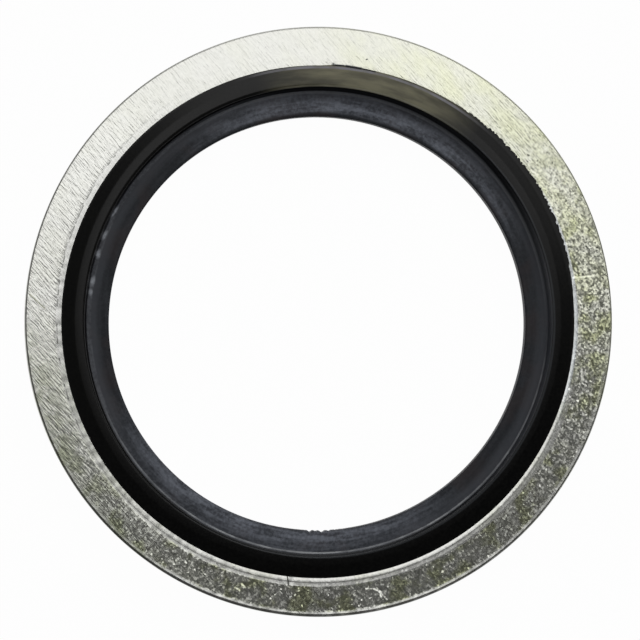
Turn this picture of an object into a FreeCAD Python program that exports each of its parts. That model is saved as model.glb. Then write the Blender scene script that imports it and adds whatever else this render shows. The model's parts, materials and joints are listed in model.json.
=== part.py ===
import FreeCAD, Part
import os
import Sketcher

# A self-centring bonded sealing washer for a 1 inch pipe thread: a flat steel ring with a
# moulded rubber ring vulcanised into its bore. Both sides are the same.
#
# Read outwards from the thread, the rubber is a thin lip at mid-height that centres the
# washer in the thread's root, then a bead of trapezoid section that stands proud of the steel
# on both faces and does the sealing, then the bonded face on the steel's bore.
#
# Frame: millimetres, +Z up along the washer's axis. The washer lies flat, so its lower bead
# crest touches z = 0, and the origin is the centre of that resting plane.

OUTPUT_FOLDER = "parts"
ROUNDING = 1e-6  # two lengths closer than this, in mm, are the same length

# The driving dimensions, in millimetres and degrees.
SIZES = (
    ("thread_major_dia", 33.25, "diameter over the crests of the thread that passes through"),
    ("thread_depth", 1.48, "radial depth of that thread, from its crests to its root"),
    ("lip_gap", 0.045, "radial gap between the lip and the thread's root"),
    ("bead_gap", 0.325, "radial gap between the bead's foot and the thread's crests"),
    ("bead_width", 1.66, "radial width of the bead, from its inner wall's foot to the bond"),
    ("steel_width", 2.79, "radial width of the steel ring, from the bond to its rim"),
    ("steel_thick", 3.38, "thickness of the steel ring, face to face"),
    ("rim_break_width", 0.18, "radial width of the break that deburrs the steel's outer edges"),
    ("rim_break_depth", 0.14, "axial depth of that break"),
    ("rim_break_round", 0.08, "radius that tumbling leaves on the break's two corners"),
    ("nip_width", 0.68, "radial width of the land that the mould coins beside the bond"),
    ("nip_depth", 0.05, "how far that land falls away below the face at the bond"),
    ("bead_rise", 0.30, "how far the bead's crest stands over the steel's face"),
    ("bead_draft", 3.0, "draft angle of the bead's inner wall, in degrees"),
    ("crest_land", 0.16, "flat width of the bead's crest before it is rounded"),
    ("shoulder_width", 0.54, "radial width of the shoulder, outwards from that flat"),
    ("shoulder_fall", 0.04, "how far the shoulder falls away over its width"),
    ("crest_inner_round", 0.12, "radius on the crest's inner corner"),
    ("shoulder_round", 0.60, "radius where the shoulder turns down to the steel"),
    ("lip_thick", 1.00, "thickness of the centring lip"),
    ("lip_root_round", 0.25, "fillet where the lip leaves the bead's wall"),
    ("lip_tip_round", 0.12, "radius on the lip's two bore edges"),
)

doc = FreeCAD.newDocument("bonded_sealing_washer")


def make_sheet():
    """The spreadsheet that holds every driving dimension under its own alias."""
    sheet = doc.addObject("Spreadsheet::Sheet", "Sizes")
    for row, (alias, value, meaning) in enumerate(SIZES, start=1):
        sheet.set(f"A{row}", alias)
        sheet.set(f"B{row}", str(value))
        sheet.setAlias(f"B{row}", alias)
        sheet.set(f"C{row}", meaning)
    doc.recompute()
    return sheet


sizes = make_sheet()

# Heights are measured from the mid-plane that the two faces mirror about, and radii from the
# washer's axis, working outwards from the thread. Each is written once here, as an expression
# on the sheet.
FACE_HEIGHT = "Sizes.steel_thick / 2"
NIP_HEIGHT = "Sizes.steel_thick / 2 - Sizes.nip_depth"
RIM_BREAK_HEIGHT = "Sizes.steel_thick / 2 - Sizes.rim_break_depth"
CREST_HEIGHT = "Sizes.steel_thick / 2 + Sizes.bead_rise"
SHOULDER_HEIGHT = "Sizes.steel_thick / 2 + Sizes.bead_rise - Sizes.shoulder_fall"
LIP_HEIGHT = "Sizes.lip_thick / 2"
LIP_RADIUS = "Sizes.thread_major_dia / 2 - Sizes.thread_depth + Sizes.lip_gap"
WALL_FOOT_RADIUS = "Sizes.thread_major_dia / 2 + Sizes.bead_gap"
WALL_TOP_RADIUS = f"{WALL_FOOT_RADIUS} + ({CREST_HEIGHT} - {LIP_HEIGHT}) * tan(Sizes.bead_draft)"
CREST_OUTER_RADIUS = f"{WALL_TOP_RADIUS} + Sizes.crest_land"
SHOULDER_RADIUS = f"{CREST_OUTER_RADIUS} + Sizes.shoulder_width"
BOND_RADIUS = f"{WALL_FOOT_RADIUS} + Sizes.bead_width"
NIP_RADIUS = f"{BOND_RADIUS} + Sizes.nip_width"
RIM_RADIUS = f"{BOND_RADIUS} + Sizes.steel_width"
RIM_BREAK_RADIUS = f"{RIM_RADIUS} - Sizes.rim_break_width"


def value_of(expression):
    """What an expression on the sheet comes to, as a plain number."""
    found = sizes.evalExpression(expression)
    return float(getattr(found, "Value", found))


def make_body(label):
    """An empty body. It is modelled about its mid-plane and its Placement lifts it, so that
    the washer stands on its lower bead crest."""
    body = doc.addObject("PartDesign::Body", label)
    body.Label = label
    body.setExpression("Placement.Base.z", CREST_HEIGHT)
    return body


def plane_of(body, role):
    """One of the body's own origin planes, found by its role."""
    return next(f for f in body.Origin.OriginFeatures if f.Role == role)


def draw_mirrored_section(body, name, corners):
    """A closed section on the body's XZ plane, as a ring's half section. corners lists the
    upper corners as (radius, height) expressions in order from one end of the mid-plane to
    the other, and each has its mirror image below the mid-plane."""
    sketch = body.newObject("Sketcher::SketchObject", name)
    sketch.AttachmentSupport = [(plane_of(body, "XZ_Plane"), "")]
    sketch.MapMode = "FlatFace"
    upper = [FreeCAD.Vector(value_of(radius), value_of(height), 0) for radius, height in corners]
    lower = [FreeCAD.Vector(point.x, -point.y, 0) for point in reversed(upper)]
    points = upper + lower
    count = len(points)
    for index in range(count):
        following = points[(index + 1) % count]
        sketch.addGeometry(Part.LineSegment(points[index], following), False)
    start_of_line, end_of_line = 1, 2
    origin_geometry, horizontal_axis = -1, -1
    for index in range(count):
        following = (index + 1) % count
        sketch.addConstraint(
            Sketcher.Constraint("Coincident", index, end_of_line, following, start_of_line)
        )
    for index, (radius, height) in enumerate(corners):
        mirrored = count - 1 - index
        sketch.addConstraint(
            Sketcher.Constraint(
                "Symmetric", index, start_of_line, mirrored, start_of_line, horizontal_axis
            )
        )
        for kind, expression, size in (
            ("DistanceX", radius, points[index].x),
            ("DistanceY", height, points[index].y),
        ):
            number = sketch.addConstraint(
                Sketcher.Constraint(kind, origin_geometry, start_of_line, index, start_of_line, size)
            )
            constraint = f"{kind}_of_corner_{index}"
            sketch.renameConstraint(number, constraint)
            sketch.setExpression(f"Constraints.{constraint}", expression)
    doc.recompute()
    return sketch


def revolve(body, sketch, name):
    """The section turned once about the washer's axis."""
    turned = body.newObject("PartDesign::Revolution", name)
    turned.Profile = sketch
    turned.ReferenceAxis = (sketch, ["V_Axis"])
    turned.Angle = 360
    sketch.Visibility = False
    doc.recompute()
    return turned


def rim_edges(feature, radius, height):
    """The names of the circular edges of that radius at that height above and below the
    mid-plane."""
    wanted_radius, wanted_height = value_of(radius), value_of(height)
    names = []
    for number, edge in enumerate(feature.Shape.Edges, start=1):
        if not isinstance(edge.Curve, Part.Circle):
            continue
        right_radius = abs(edge.Curve.Radius - wanted_radius) < ROUNDING
        right_height = abs(abs(edge.Curve.Center.z) - wanted_height) < ROUNDING
        if right_radius and right_height:
            names.append(f"Edge{number}")
    return names


def round_rims(body, name, radius, height, round_size):
    """A fillet on the upper and lower rims at that radius and height."""
    base = body.Tip
    rounded = body.newObject("PartDesign::Fillet", name)
    rounded.Base = (base, rim_edges(base, radius, height))
    rounded.setExpression("Radius", round_size)
    doc.recompute()
    return rounded


def make_steel_ring():
    """The flat ring: outer edges broken and tumbled smooth, and a shallow coined land beside
    the bore, on both faces, where the rubber mould nipped the steel to hold the rubber in."""
    body = make_body("steel_ring")
    section = draw_mirrored_section(
        body,
        "steel_section",
        (
            (RIM_RADIUS, RIM_BREAK_HEIGHT),
            (RIM_BREAK_RADIUS, FACE_HEIGHT),
            (NIP_RADIUS, FACE_HEIGHT),
            (BOND_RADIUS, NIP_HEIGHT),
        ),
    )
    revolve(body, section, "steel_turned")
    round_rims(body, "break_outer_rounded", RIM_RADIUS, RIM_BREAK_HEIGHT, "Sizes.rim_break_round")
    round_rims(body, "break_inner_rounded", RIM_BREAK_RADIUS, FACE_HEIGHT, "Sizes.rim_break_round")
    return body


def make_rubber_seal():
    """The moulded ring: bonded face, sloped flank, shoulder, narrow flat crest, drafted inner
    wall and the thin centring lip."""
    body = make_body("rubber_seal")
    section = draw_mirrored_section(
        body,
        "rubber_section",
        (
            (BOND_RADIUS, NIP_HEIGHT),
            (SHOULDER_RADIUS, SHOULDER_HEIGHT),
            (CREST_OUTER_RADIUS, CREST_HEIGHT),
            (WALL_TOP_RADIUS, CREST_HEIGHT),
            (WALL_FOOT_RADIUS, LIP_HEIGHT),
            (LIP_RADIUS, LIP_HEIGHT),
        ),
    )
    revolve(body, section, "rubber_turned")
    for name, radius, height, round_size in (
        ("shoulder_rounded", SHOULDER_RADIUS, SHOULDER_HEIGHT, "Sizes.shoulder_round"),
        ("crest_inner_rounded", WALL_TOP_RADIUS, CREST_HEIGHT, "Sizes.crest_inner_round"),
        ("lip_root_rounded", WALL_FOOT_RADIUS, LIP_HEIGHT, "Sizes.lip_root_round"),
        ("lip_tip_rounded", LIP_RADIUS, LIP_HEIGHT, "Sizes.lip_tip_round"),
    ):
        round_rims(body, name, radius, height, round_size)
    return body


def check_and_export(bodies):
    """Stops if anything failed to build, then writes one STEP file for each piece."""
    doc.recompute()
    for feature in doc.Objects:
        if "Invalid" in feature.State or "Error" in feature.State:
            raise RuntimeError(f"{feature.Name} did not build: {feature.State}")
    os.makedirs(OUTPUT_FOLDER, exist_ok=True)
    for body in bodies:
        shape = body.Shape
        if shape.isNull() or not shape.isValid() or len(shape.Solids) != 1:
            raise RuntimeError(f"{body.Label} is not one valid solid")
        shape.exportStep(os.path.join(OUTPUT_FOLDER, f"{body.Label}.step"))
        low, high = shape.BoundBox.ZMin, shape.BoundBox.ZMax
        print(f"{body.Label}: {shape.Volume:.1f} mm3, z {low:.3f} to {high:.3f}")


check_and_export([make_steel_ring(), make_rubber_seal()])
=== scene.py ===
# %% [markdown]
# A bonded sealing washer
#
# The real part seals a threaded pipe fitting. It has two pieces: a flat steel ring, blanked
# from sheet, brushed and zinc plated, and a ring of black nitrile rubber moulded and bonded
# into its bore. The rubber stands a little proud of the steel on both faces, and a thin lip
# at mid-height centres the washer on the thread.
#
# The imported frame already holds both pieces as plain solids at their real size. This lesson
# makes the finish: what the press, the mould, the brush and the plating bath leave behind.

# %% Load the frame
import json
import math
import bmesh
import bpy
import numpy as np
from mathutils import Euler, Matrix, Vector, noise


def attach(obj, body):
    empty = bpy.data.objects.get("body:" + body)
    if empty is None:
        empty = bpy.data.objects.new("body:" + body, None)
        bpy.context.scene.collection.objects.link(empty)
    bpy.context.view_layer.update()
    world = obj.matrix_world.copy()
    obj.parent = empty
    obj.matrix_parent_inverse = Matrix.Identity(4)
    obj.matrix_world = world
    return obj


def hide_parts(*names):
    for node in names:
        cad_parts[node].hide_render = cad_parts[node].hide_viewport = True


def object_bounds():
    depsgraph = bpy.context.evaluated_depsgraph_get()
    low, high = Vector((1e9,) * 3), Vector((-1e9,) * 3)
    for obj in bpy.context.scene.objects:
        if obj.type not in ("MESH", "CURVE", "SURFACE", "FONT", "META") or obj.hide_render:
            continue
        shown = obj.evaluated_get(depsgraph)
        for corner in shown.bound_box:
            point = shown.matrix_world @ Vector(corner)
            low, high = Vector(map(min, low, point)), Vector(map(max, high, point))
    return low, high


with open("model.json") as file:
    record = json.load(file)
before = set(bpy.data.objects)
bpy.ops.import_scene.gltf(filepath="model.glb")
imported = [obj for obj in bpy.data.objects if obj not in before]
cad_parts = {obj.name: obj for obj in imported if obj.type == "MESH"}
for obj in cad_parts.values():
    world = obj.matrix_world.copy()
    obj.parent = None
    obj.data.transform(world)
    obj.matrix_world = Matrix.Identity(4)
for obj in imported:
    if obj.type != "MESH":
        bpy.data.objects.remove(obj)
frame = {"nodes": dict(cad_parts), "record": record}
cad_low, cad_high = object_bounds()
print("washer, mm:", [round(1000 * side, 2) for side in cad_high - cad_low])

# %% [markdown]
# Sizes from the frame
#
# A made thing fits because its sizes come from one place, so the radii and heights here are
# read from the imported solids. They could be typed in again, but then a change to the solid
# would leave the finish behind. Only the fine detail that the solids leave out, such as the
# exact run of the coined land, is written here, in millimetres.

# %% Sizes
MM = 0.001
steel_points = np.array([v.co for v in frame["nodes"]["steel_ring"].data.vertices]) / MM
RIM_RADIUS = float(np.hypot(steel_points[:, 0], steel_points[:, 1]).max())
BOND_RADIUS = float(np.hypot(steel_points[:, 0], steel_points[:, 1]).min())
MIDDLE = float(cad_low.z + cad_high.z) / 2 / MM
FACE_HALF = float(steel_points[:, 2].max()) - MIDDLE
CREST_HALF = float(cad_high.z) / MM - MIDDLE
MOUNTS = {mount["name"]: mount for mount in frame["record"]["mounts"]}
LIP_RADIUS = MOUNTS["thread_bore"]["dims"]["r_mm"]
print("rim", round(RIM_RADIUS, 3), "bond", round(BOND_RADIUS, 3), "lip", LIP_RADIUS)
print("half heights: steel", round(FACE_HALF, 3), "bead", round(CREST_HALF, 3))

# %% [markdown]
# The camera
#
# The washer lies flat and is seen from nearly overhead, from a forearm's length above. The
# camera could look straight down, but the walls of the step in the rubber show wider on the
# right than on the left, so it stands a few degrees to the left and a little towards the
# bottom of the picture. A long lens keeps the ring's far side as large as its near side.

# %% Camera
PICTURE_PIXELS = 640
PIXELS_PER_MM = 13.80  # at the steel's face, from the rim's 590 pixels over its 42.8 mm
RING_CENTRE_PIXEL = (318.5, 321.85)
CAMERA_DISTANCE = 230.0
TILT_LEFT = math.radians(6.1)
TILT_DOWN = math.radians(0.8)
SENSOR_MM = 36.0

turned = Euler((TILT_DOWN, -TILT_LEFT, 0))
back = turned.to_matrix() @ Vector((0, 0, 1))
near_side_swell = RIM_RADIUS**2 / CAMERA_DISTANCE  # how far a tilted circle's middle is drawn off
aim = Vector(
    (
        (PICTURE_PIXELS / 2 - RING_CENTRE_PIXEL[0]) / PIXELS_PER_MM + near_side_swell * back.x,
        (RING_CENTRE_PIXEL[1] - PICTURE_PIXELS / 2) / PIXELS_PER_MM + near_side_swell * back.y,
        MIDDLE + FACE_HALF,
    )
)
camera_data = bpy.data.cameras.new("bench_camera")
camera_data.sensor_width = SENSOR_MM
camera_data.lens = SENSOR_MM * PIXELS_PER_MM * CAMERA_DISTANCE / PICTURE_PIXELS
camera_data.clip_start = 0.01
camera_data.clip_end = 10.0
camera = bpy.data.objects.new("bench_camera", camera_data)
camera.location = (aim + back * CAMERA_DISTANCE) * MM
camera.rotation_euler = turned
bpy.context.scene.collection.objects.link(camera)
bpy.context.scene.camera = camera
print("lens, mm:", round(camera_data.lens, 1))

# %% [markdown]
# A helper for nodes and one for colours
#
# Every material below is a small tree of nodes. One function adds a node, sets its own
# settings and fills its sockets, either with a value or with another node's output. Colours
# are written as the hex codes that a paint chart gives, and the renderer works with light,
# so one function turns a code into linear light.

# %% Node and colour helpers
def add_node(tree, kind, settings=None, inputs=None):
    """Adds a node. settings are its own options, and inputs maps a socket to a value or a link."""
    node = tree.nodes.new(kind)
    for name, value in (settings or {}).items():
        setattr(node, name, value)
    for name, value in (inputs or {}).items():
        if isinstance(value, bpy.types.NodeSocket):
            tree.links.new(value, node.inputs[name])
        else:
            node.inputs[name].default_value = value
    return node


def colour(hex_code):
    """An sRGB hex code as linear red, green, blue and alpha."""
    shares = [int(hex_code[place : place + 2], 16) / 255 for place in (1, 3, 5)]
    linear = [s / 12.92 if s <= 0.04045 else ((s + 0.055) / 1.055) ** 2.4 for s in shares]
    return (*linear, 1.0)


print("the middle grey #808080 is this share of white light:", round(colour("#808080")[0], 3))

# %% [markdown]
# The room
#
# Bright metal shows what is above it. This bench stands in a plain dim room, which the near
# half of the ring mirrors and so looks grey. The room could be modelled, or be a photograph
# wrapped round the scene, but only its brightness shows in metal this rough. So it is the
# world, in one grey.

# %% World
ROOM_GREY = 0.10

world = bpy.data.worlds.new("dim_room")
bpy.context.scene.world = world
world.use_nodes = True
room = world.node_tree
room.nodes.clear()
room_light = add_node(
    room, "ShaderNodeBackground", inputs={"Color": (ROOM_GREY, ROOM_GREY, ROOM_GREY, 1.0)}
)
add_node(room, "ShaderNodeOutputWorld", inputs={"Surface": room_light.outputs["Background"]})
print("room grey:", ROOM_GREY)

# %% [markdown]
# The lamp
#
# One large soft lamp hangs over the bench on the side towards the top of the picture, so the
# far half of the ring mirrors it and looks white, with a soft change between that is as wide
# as the metal is rough. Several small lamps would do, but each would show as a spot in the
# metal. The lamp's edges are given as the angles at which the washer sees them, because those
# decide where on the ring the white begins.

# %% Lamp
LAMP_HEIGHT = 500.0
LAMP_TURN = math.radians(15)  # its lower edge climbs towards the right of the picture
LAMP_NEAR_EDGE = math.radians(-0.35)
LAMP_FAR_EDGE = math.radians(78)
LAMP_LEFT_EDGE = math.radians(-9)
LAMP_RIGHT_EDGE = math.radians(41)
LAMP_BRIGHTNESS = 1.5

near, far = (LAMP_HEIGHT * math.tan(edge) for edge in (LAMP_NEAR_EDGE, LAMP_FAR_EDGE))
left, right = (LAMP_HEIGHT * math.tan(edge) for edge in (LAMP_LEFT_EDGE, LAMP_RIGHT_EDGE))
lamp_data = bpy.data.lights.new("soft_lamp", "AREA")
lamp_data.shape = "RECTANGLE"
lamp_data.size = (right - left) * MM
lamp_data.size_y = (far - near) * MM
lamp_data.energy = LAMP_BRIGHTNESS * math.pi * lamp_data.size * lamp_data.size_y
lamp = bpy.data.objects.new("soft_lamp", lamp_data)
lamp_middle = Vector(((left + right) / 2, (near + far) / 2, LAMP_HEIGHT)) * MM
lamp.location = Vector(
    (
        lamp_middle.x * math.cos(LAMP_TURN) - lamp_middle.y * math.sin(LAMP_TURN),
        lamp_middle.x * math.sin(LAMP_TURN) + lamp_middle.y * math.cos(LAMP_TURN),
        lamp_middle.z,
    )
)
lamp.rotation_euler = (0, 0, LAMP_TURN)
lamp.visible_camera = False
bpy.context.scene.collection.objects.link(lamp)
print("lamp, W:", round(lamp_data.energy, 2))

# %% [markdown]
# The bench
#
# The washer lies on white card. A plane is enough for that. The card is a matt white that
# takes the washer's shadow, with part of its light given straight to the camera, so that it
# reads as clean paper. Reflections see that part too, so the metal and the card agree.

# %% Bench
CARD_SIZE = 6.0
CARD_GLOW = 0.98

bpy.ops.object.select_all(action="DESELECT")
bpy.ops.mesh.primitive_plane_add(size=CARD_SIZE, location=(0, 0, cad_low.z))
card = bpy.context.active_object
card.name = "white_card"
card_paper = bpy.data.materials.new("matt_white_card")
card_paper.use_nodes = True
paper = card_paper.node_tree
paper.nodes.clear()
ray = add_node(paper, "ShaderNodeLightPath")
seen = add_node(
    paper,
    "ShaderNodeMath",
    {"operation": "ADD", "use_clamp": True},
    {0: ray.outputs["Is Camera Ray"], 1: ray.outputs["Is Glossy Ray"]},
)
seen_or_through = add_node(
    paper,
    "ShaderNodeMath",
    {"operation": "ADD", "use_clamp": True},
    {0: seen.outputs[0], 1: ray.outputs["Is Transmission Ray"]},
)
share = add_node(
    paper,
    "ShaderNodeMath",
    {"operation": "MULTIPLY"},
    {0: seen_or_through.outputs[0], 1: CARD_GLOW},
)
matt = add_node(paper, "ShaderNodeBsdfDiffuse", inputs={"Color": colour("#F7F7F7")})
glow = add_node(paper, "ShaderNodeEmission", inputs={"Color": colour("#FFFFFF"), "Strength": 1.0})
mixed = add_node(
    paper,
    "ShaderNodeMixShader",
    inputs={0: share.outputs[0], 1: matt.outputs[0], 2: glow.outputs[0]},
)
add_node(paper, "ShaderNodeOutputMaterial", inputs={"Surface": mixed.outputs[0]})
card.data.materials.append(card_paper)
print("card, m:", CARD_SIZE)

# %% [markdown]
# How a ring is drawn
#
# Both pieces are rings, so each is drawn as half of its cross-section and then spun about the
# washer's axis. A cylinder with a hole in it could be carved into shape, but the section is
# what the tool-maker draws, and every ridge and round of it lands where it is drawn.
#
# The section starts as a small upright plane, and its outer edge is extruded from corner to
# corner. Each new edge is moved outwards and stretched about the mid-plane, which keeps the
# upper and lower halves alike.

# %% Draw a section
def only(piece):
    """Makes this the one selected piece, and the active one."""
    bpy.ops.object.select_all(action="DESELECT")
    piece.select_set(True)
    bpy.context.view_layer.objects.active = piece


def pick(piece, element_kind, test):
    """In edit mode, selects the vertices, edges or faces that pass the test, and says how many."""
    bpy.ops.mesh.select_mode(type=element_kind)
    bpy.ops.mesh.select_all(action="DESELECT")
    mesh = bmesh.from_edit_mesh(piece.data)
    elements = {"VERT": mesh.verts, "EDGE": mesh.edges, "FACE": mesh.faces}[element_kind]
    picked = 0
    for element in elements:
        if test(element):
            element.select = True
            picked += 1
    mesh.select_flush_mode()
    bmesh.update_edit_mesh(piece.data)
    return picked


print("mid-plane, mm:", round(MIDDLE, 2))

# %% [markdown]
# The section's corners
#
# A plane has four corners. Its left side becomes the ring's bore, its right side moves out to
# the second corner, and each corner after that is one extrusion more. The edges between the
# steps are dissolved at the end, so that only the outline stays.

# %% Draw the corners
def draw_section(name, corners):
    """An upright n-gon in the XZ plane. corners are (radius, half height) in mm, outwards."""
    (radius, half), *others = corners
    bpy.ops.object.select_all(action="DESELECT")
    bpy.ops.mesh.primitive_plane_add(
        size=2 * half * MM,
        location=((radius + half) * MM, 0, MIDDLE * MM),
        rotation=(math.pi / 2, 0, 0),
    )
    piece = bpy.context.active_object
    piece.name = name
    bpy.ops.object.transform_apply(location=True, rotation=True, scale=True)
    bpy.ops.object.mode_set(mode="EDIT")
    pick(piece, "VERT", lambda vert: vert.co.x > (radius + half) * MM)
    bpy.ops.transform.translate(value=((others[0][0] - radius - 2 * half) * MM, 0, 0))
    last_radius, last_half = others[0][0], half
    for number, (next_radius, next_half) in enumerate(others):
        if number > 0:
            step = (next_radius - last_radius) * MM
            bpy.ops.mesh.extrude_region_move(TRANSFORM_OT_translate={"value": (step, 0, 0)})
        bpy.ops.transform.resize(
            value=(1, 1, next_half / last_half), center_override=(0, 0, MIDDLE * MM)
        )
        last_radius, last_half = next_radius, next_half
    pick(piece, "EDGE", lambda edge: len(edge.link_faces) == 2)
    bpy.ops.mesh.dissolve_edges(use_verts=False)
    bpy.ops.object.mode_set(mode="OBJECT")
    return piece


# %% [markdown]
# Rounds and rings
#
# A corner of the section is rounded by a bevel of its point. The bevel wants the length that
# it cuts off each side, and a fitter knows the radius, so the one is worked out from the
# other: the radius times the tangent of half the turn. The long sides are then divided, since
# each point of the section becomes one ring of the finished mesh, and the marks that the
# surface carries need rings to sit on.

# %% Round a corner and divide a side
CLOSE = 0.0005 * MM


def at_corner(point, radius, half):
    """True if a point of the section is that corner, above or below the mid-plane."""
    right_radius = abs(point.x - radius * MM) < CLOSE
    return right_radius and abs(abs(point.z - MIDDLE * MM) - half * MM) < CLOSE


def round_corner(piece, radius, half, size, segments):
    """In edit mode, rounds that corner of the section and its mirror image."""
    picked = pick(piece, "VERT", lambda vert: at_corner(vert.co, radius, half))
    mesh = bmesh.from_edit_mesh(piece.data)
    corner = next(vert for vert in mesh.verts if vert.select)
    sides = [(edge.other_vert(corner).co - corner.co) for edge in corner.link_edges]
    turn = math.pi - sides[0].angle(sides[1])
    cut = size * MM * math.tan(turn / 2)
    bpy.ops.mesh.bevel(offset_type="OFFSET", offset=cut, segments=segments, affect="VERTICES")
    print(piece.name, "corners rounded:", picked, "turn, deg:", round(math.degrees(turn), 1))


def divide_sides(piece, step):
    """In edit mode, leaves only the outline and divides its sides to about a step in mm."""
    bpy.ops.mesh.select_mode(type="FACE")
    bpy.ops.mesh.select_all(action="SELECT")
    bpy.ops.mesh.delete(type="ONLY_FACE")
    outline = bmesh.from_edit_mesh(piece.data)
    parts_wanted = {round(edge.calc_length() / (step * MM)) for edge in outline.edges}
    for parts in sorted(parts_wanted, reverse=True):
        if parts > 1:
            pick(piece, "EDGE", lambda edge: round(edge.calc_length() / (step * MM)) == parts)
            bpy.ops.mesh.subdivide(number_cuts=parts - 1)


# %% [markdown]
# The spin
#
# Turning the outline once round closes the ring. The filled face of the section was taken
# away first, or it would stay inside the ring as a wall. The Spin tool does this too, but it
# slows down badly over a thousand steps, so a Screw modifier with no pitch does the turn and
# is applied. The seam's doubled points are merged and the faces are turned outwards, because
# a turned shape can come out inside out.

# %% Turn the section
TURN_STEPS = 960


def turn_ring(piece):
    """Turns the section's outline once about the washer's axis and closes it."""
    only(piece)
    turn = piece.modifiers.new("turn", "SCREW")
    turn.axis = "Z"
    turn.angle = 2 * math.pi
    turn.screw_offset = 0
    turn.steps = TURN_STEPS
    turn.render_steps = TURN_STEPS
    turn.use_merge_vertices = True
    turn.merge_threshold = 0.0002 * MM
    bpy.ops.object.modifier_apply(modifier=turn.name)
    bpy.ops.object.mode_set(mode="EDIT")
    bpy.ops.mesh.select_mode(type="VERT")
    bpy.ops.mesh.select_all(action="SELECT")
    bpy.ops.mesh.remove_doubles(threshold=0.0002 * MM)
    bpy.ops.mesh.normals_make_consistent(inside=False)
    bpy.ops.object.mode_set(mode="OBJECT")
    triangles = sum(len(face.vertices) - 2 for face in piece.data.polygons)
    print(piece.name, "triangles:", triangles)


# %% [markdown]
# Moving points by their place
#
# No operator moves each point by a rule of its own radius and direction, and that is how a
# soft moulding goes out of round or a press marks a face. So one function reads a mesh's
# points as radius, direction, height, gives them to a rule and writes them back. Directions
# are clock directions in radians: zero at the top of the picture and growing clockwise.

# %% Points by radius, direction and height
def reshape(piece, rule):
    """Moves every point by rule(radius, clock, height), which returns the three, in mm."""
    count = len(piece.data.vertices)
    flat = np.empty(count * 3, np.float32)
    piece.data.vertices.foreach_get("co", flat)
    x, y, z = flat.reshape(-1, 3).T.astype(float) / MM
    radius, clock, height = rule(np.hypot(x, y), np.arctan2(x, y) % (2 * math.pi), z)
    moved = np.stack([radius * np.sin(clock), radius * np.cos(clock), height], 1) * MM
    piece.data.vertices.foreach_set("co", moved.astype(np.float32).ravel())
    piece.data.update()
    return count


def ease(value, start, end):
    """Rises smoothly from 0 at start to 1 at end."""
    share = np.clip((value - start) / (end - start), 0, 1)
    return share * share * (3 - 2 * share)


def wander(clock, radius, height, size, seed):
    """Smooth noise from about -1 to 1 on the washer, whose bumps are about size mm across."""
    x, y, z = np.broadcast_arrays(radius * np.sin(clock), radius * np.cos(clock), height)
    places = np.stack([x / size + seed, y / size, z / size], 1)
    return np.array([noise.noise(Vector(place)) for place in places])


print("half way through an ease:", ease(0.5, 0, 1))

# %% [markdown]
# The steel ring
#
# The real ring is punched from sheet and tumbled, so its outer edges are broken at about 40
# degrees and softened, and the tumbling has raised a faint lip just inside the break. Beside
# the bore the mould's nip has coined a shallow land, to hold the rubber in: two gentle slopes
# with a fine groove between. The section below has all of this, and its depths are in hundredths
# of a millimetre, because bright metal shows them. It could be a smooth ring with painted
# lines, but a painted line doesn't change as the light moves over it.

# %% Steel section
LAND = (  # radial distance from the bond, and depth below the face, in mm
    (0.00, 0.050),
    (0.26, 0.0225),
    (0.31, 0.0220),
    (0.39, 0.0238),
    (0.56, 0.001),
    (0.61, 0.000),
)
LIP_WIDTH = 0.17
LIP_RISE = 0.026
BREAK_WIDTH = 0.18
BREAK_DEPTH = 0.14
BREAK_ROUND = 0.08

steel = draw_section(
    "steel_ring_plated",
    [(BOND_RADIUS + out, FACE_HALF - down) for out, down in LAND]
    + [
        (RIM_RADIUS - BREAK_WIDTH - LIP_WIDTH, FACE_HALF),
        (RIM_RADIUS - BREAK_WIDTH, FACE_HALF + LIP_RISE),
        (RIM_RADIUS, FACE_HALF - BREAK_DEPTH),
    ],
)
only(steel)
bpy.ops.object.mode_set(mode="EDIT")
round_corner(steel, RIM_RADIUS - BREAK_WIDTH, FACE_HALF + LIP_RISE, BREAK_ROUND, 4)
round_corner(steel, RIM_RADIUS, FACE_HALF - BREAK_DEPTH, BREAK_ROUND, 4)
divide_sides(steel, 0.16)
bpy.ops.object.mode_set(mode="OBJECT")
print("steel section points:", len(steel.data.vertices))
turn_ring(steel)

# %% [markdown]
# Uneven steel
#
# Neither the press nor the mould is true. The break is deepest at the bottom of the picture, and
# its lip stands only there, in beads. The mould closed harder at the bottom as well, so the land
# fades out towards the top. At the bottom the land also has one nick, from a burr on the mould.
# The turned ring is the same all round, so a rule moves its points afterwards.

# %% Uneven steel
NICK_CLOCK = math.radians(186.6)
NICK_HALF_WIDTH = 0.11  # along the ring, in mm
NICK_DEPTH = 0.015
LAND_DEEPEST = math.radians(165)
LAND_SLIDE = (-0.19, 0.0)  # how far the land's outer end is off the rim's centre, in mm
STEP_DEEPEST = math.radians(222)
STEP_DEPTH = 0.025
STEP_WAVES = 0.5
LIP_BEADS = 0.45  # the size of the beads that the rim's lip is broken into, in mm
BORE_SLIDE = (-0.10, -0.003)  # how far the blank's hole is off the rim's centre, in mm
BORE_OVAL = 0.055
BORE_OPEN = 0.02
LAND_END = BOND_RADIUS + LAND[-1][0]
BREAK_START = RIM_RADIUS - BREAK_WIDTH - LIP_WIDTH


def slide(clock, across, up):
    """How much a circle's radius grows in each direction when the circle moves by (across, up)."""
    return across * np.sin(clock) + up * np.cos(clock)


def settle_bore(clock):
    """How much the steel's bore is out of true in each direction."""
    return BORE_OPEN + slide(clock, *BORE_SLIDE) - BORE_OVAL * np.cos(2 * clock)


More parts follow.
